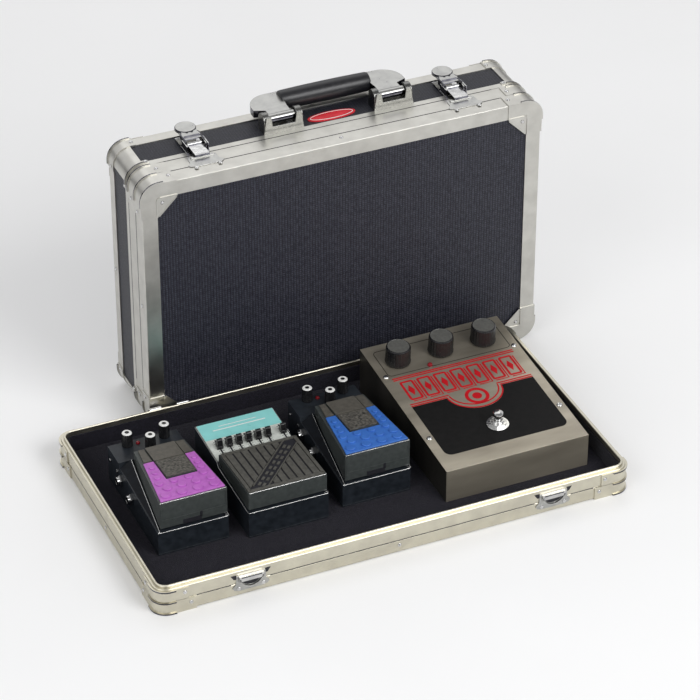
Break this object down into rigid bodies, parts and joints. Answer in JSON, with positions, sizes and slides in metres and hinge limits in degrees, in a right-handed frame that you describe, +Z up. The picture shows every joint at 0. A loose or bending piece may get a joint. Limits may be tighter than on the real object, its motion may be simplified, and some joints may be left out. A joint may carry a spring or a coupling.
{
  "type": "pedalboard",
  "caption": "Shallow carpeted flight-case tray holding effect pedals, with the matching latched case, its handle folded, standing on its hinge side behind it.",
  "frame": {"origin": "middle of the whole set's footprint, on the floor", "axes": "+X along the tray from its left pedal to the big pedal, +Y back from the tray's latch side to the standing case, +Z up"},
  "size_m": [0.5394, 0.3848, 0.3107],
  "materials": {
    "carpet": "short black needle carpet",
    "board": "plywood with a black laminate",
    "laminate": "plywood with a woven blue-black laminate",
    "rail": "satin anodised extrusion",
    "corner": "bright chromed steel",
    "bright": "bright plated steel",
    "steel": "plated steel",
    "housing": "satin black-green paint",
    "treadle": "dark grey-green paint",
    "purple": "studded purple pad",
    "blue": "studded blue pad",
    "turquoise": "turquoise and white printed plate",
    "eq_tread": "ribbed dark grey rubber",
    "knob": "black",
    "nickel": "brushed folded sheet",
    "grip": "black"
  },
  "bodies": {
    "tray": {"tray_panels": "board", "tray_carpet": "carpet", "tray_edge_angles": "rail", "tray_closure_rails": "rail", "tray_corners": "corner", "tray_rivets": "steel", "tray_catches": "bright", "tray_hinge_leaves": "steel", "left_pedal_housing": "housing", "right_pedal_housing": "housing", "eq_pedal_housing": "housing", "eq_pedal_face_plate": "turquoise", "big_pedal_chassis": "nickel", "big_pedal_footswitch_bush": "bright", "pedal_base_plates": "housing", "pedal_jacks": "bright", "pedal_screws": "bright", "treadle_pins": "steel"},
    "left_treadle": {"left_pedal_treadle": "treadle", "left_pedal_pad": "purple"},
    "left_knob_1": {"left_pedal_knob_1": "knob"},
    "left_knob_2": {"left_pedal_knob_2": "knob"},
    "left_knob_3": {"left_pedal_knob_3": "knob"},
    "right_treadle": {"right_pedal_treadle": "treadle", "right_pedal_pad": "blue"},
    "right_knob_1": {"right_pedal_knob_1": "knob"},
    "right_knob_2": {"right_pedal_knob_2": "knob"},
    "right_knob_3": {"right_pedal_knob_3": "knob"},
    "eq_treadle": {"eq_pedal_treadle": "eq_tread"},
    "eq_slider_1": {"eq_pedal_slider_1": "knob"},
    "eq_slider_2": {"eq_pedal_slider_2": "knob"},
    "eq_slider_3": {"eq_pedal_slider_3": "knob"},
    "eq_slider_4": {"eq_pedal_slider_4": "knob"},
    "eq_slider_5": {"eq_pedal_slider_5": "knob"},
    "eq_slider_6": {"eq_pedal_slider_6": "knob"},
    "eq_slider_7": {"eq_pedal_slider_7": "knob"},
    "big_knob_1": {"big_pedal_knob_1": "knob"},
    "big_knob_2": {"big_pedal_knob_2": "knob"},
    "big_knob_3": {"big_pedal_knob_3": "knob"},
    "footswitch": {"big_pedal_footswitch_button": "bright"},
    "case_front": {"case_front_panels": "laminate", "case_front_edge_angles": "rail", "case_front_rails": "rail", "case_front_corners": "corner", "case_front_rivets": "steel", "case_catches": "bright", "case_front_hinge_leaves": "steel"},
    "case_lid": {"case_lid_panels": "laminate", "case_lid_frame": "rail", "case_lid_corners": "corner", "case_lid_rivets": "steel", "case_lid_hinge_leaves": "steel", "latch_bases": "bright", "handle_brackets": "steel"},
    "left_latch": {"left_latch_lever": "bright"},
    "left_claw": {"left_latch_claw": "bright"},
    "right_latch": {"right_latch_lever": "bright"},
    "right_claw": {"right_latch_claw": "bright"},
    "handle": {"handle_arms": "bright", "handle_grip": "grip"}
  },
  "joints": [
    {"name": "left_treadle_press", "type": "hinge", "parent": "tray", "child": "left_treadle", "pos_m": [-0.2, -0.0136, 0.05], "axis": [1, 0, 0], "range_deg": [0, 1.5], "stiffness_Nm_per_rad": 30, "springref_deg": -5.73},
    {"name": "left_knob_1_turn", "type": "hinge", "parent": "tray", "child": "left_knob_1", "pos_m": [-0.2175, 0.0204, 0.054], "axis": [0, 0, -1], "range_deg": [-150, 150]},
    {"name": "left_knob_2_turn", "type": "hinge", "parent": "tray", "child": "left_knob_2", "pos_m": [-0.1975, 0.0084, 0.054], "axis": [0, 0, -1], "range_deg": [-150, 150]},
    {"name": "left_knob_3_turn", "type": "hinge", "parent": "tray", "child": "left_knob_3", "pos_m": [-0.1785, 0.0204, 0.054], "axis": [0, 0, -1], "range_deg": [-150, 150]},
    {"name": "right_treadle_press", "type": "hinge", "parent": "tray", "child": "right_treadle", "pos_m": [-0.007, -0.0136, 0.05], "axis": [1, 0, 0], "range_deg": [0, 1.5], "stiffness_Nm_per_rad": 30, "springref_deg": -5.73},
    {"name": "right_knob_1_turn", "type": "hinge", "parent": "tray", "child": "right_knob_1", "pos_m": [-0.0245, 0.0204, 0.054], "axis": [0, 0, -1], "range_deg": [-150, 150]},
    {"name": "right_knob_2_turn", "type": "hinge", "parent": "tray", "child": "right_knob_2", "pos_m": [-0.0045, 0.0084, 0.054], "axis": [0, 0, -1], "range_deg": [-150, 150]},
    {"name": "right_knob_3_turn", "type": "hinge", "parent": "tray", "child": "right_knob_3", "pos_m": [0.0145, 0.0204, 0.054], "axis": [0, 0, -1], "range_deg": [-150, 150]},
    {"name": "eq_treadle_press", "type": "hinge", "parent": "tray", "child": "eq_treadle", "pos_m": [-0.1037, -0.0476, 0.0444], "axis": [1, 0, 0], "range_deg": [0, 1.8], "stiffness_Nm_per_rad": 20, "springref_deg": -5.73},
    {"name": "eq_slider_1_slide", "type": "slide", "parent": "tray", "child": "eq_slider_1", "axis": [0, 0.9983, 0.0582], "range_m": [-0.01, 0.01]},
    {"name": "eq_slider_2_slide", "type": "slide", "parent": "tray", "child": "eq_slider_2", "axis": [0, 0.9983, 0.0582], "range_m": [-0.01, 0.01]},
    {"name": "eq_slider_3_slide", "type": "slide", "parent": "tray", "child": "eq_slider_3", "axis": [0, 0.9983, 0.0582], "range_m": [-0.01, 0.01]},
    {"name": "eq_slider_4_slide", "type": "slide", "parent": "tray", "child": "eq_slider_4", "axis": [0, 0.9983, 0.0582], "range_m": [-0.01, 0.01]},
    {"name": "eq_slider_5_slide", "type": "slide", "parent": "tray", "child": "eq_slider_5", "axis": [0, 0.9983, 0.0582], "range_m": [-0.01, 0.01]},
    {"name": "eq_slider_6_slide", "type": "slide", "parent": "tray", "child": "eq_slider_6", "axis": [0, 0.9983, 0.0582], "range_m": [-0.01, 0.01]},
    {"name": "eq_slider_7_slide", "type": "slide", "parent": "tray", "child": "eq_slider_7", "axis": [0, 0.9983, 0.0582], "range_m": [-0.01, 0.01]},
    {"name": "big_knob_1_turn", "type": "hinge", "parent": "tray", "child": "big_knob_1", "pos_m": [0.0815, 0.03279, 0.06624], "axis": [0, 0.0689, -0.9976], "range_deg": [-150, 150]},
    {"name": "big_knob_2_turn", "type": "hinge", "parent": "tray", "child": "big_knob_2", "pos_m": [0.1295, 0.03279, 0.06624], "axis": [0, 0.0689, -0.9976], "range_deg": [-150, 150]},
    {"name": "big_knob_3_turn", "type": "hinge", "parent": "tray", "child": "big_knob_3", "pos_m": [0.1775, 0.03279, 0.06624], "axis": [0, 0.0689, -0.9976], "range_deg": [-150, 150]},
    {"name": "footswitch_press", "type": "slide", "parent": "tray", "child": "footswitch", "axis": [0, 0.0689, -0.9976], "range_m": [0, 0.004], "stiffness_N_per_m": 1500, "springref_m": -0.004},
    {"name": "case_raise", "type": "slide", "parent": "tray", "child": "case_front", "axis": [0, 0, 1], "range_m": [0, 0.12]},
    {"name": "lid_hinge", "type": "hinge", "parent": "case_front", "child": "case_lid", "pos_m": [0.051, 0.13405, 0.0021], "axis": [-1, 0, 0], "range_deg": [0, 95]},
    {"name": "left_latch_hinge", "type": "hinge", "parent": "case_lid", "child": "left_latch", "pos_m": [-0.08972, 0.1414, 0.2937], "axis": [1, 0, 0], "range_deg": [0, 95]},
    {"name": "left_claw_hinge", "type": "hinge", "parent": "left_latch", "child": "left_claw", "pos_m": [-0.08972, 0.1474, 0.2926], "axis": [1, 0, 0], "range_deg": [-95, 0]},
    {"name": "right_latch_hinge", "type": "hinge", "parent": "case_lid", "child": "right_latch", "pos_m": [0.19173, 0.1414, 0.2937], "axis": [1, 0, 0], "range_deg": [0, 95]},
    {"name": "right_claw_hinge", "type": "hinge", "parent": "right_latch", "child": "right_claw", "pos_m": [0.19173, 0.1474, 0.2926], "axis": [1, 0, 0], "range_deg": [-95, 0]},
    {"name": "handle_fold", "type": "hinge", "parent": "case_lid", "child": "handle", "pos_m": [0.06399, 0.1499, 0.3002], "axis": [1, 0, 0], "range_deg": [0, 95]}
  ],
  "couplings": [
    {"joint": "case_raise", "follows": "lid_hinge", "m_per_rad": 0.064},
    {"joint": "left_claw_hinge", "follows": "left_latch_hinge", "ratio": -1},
    {"joint": "right_claw_hinge", "follows": "right_latch_hinge", "ratio": -1}
  ]
}
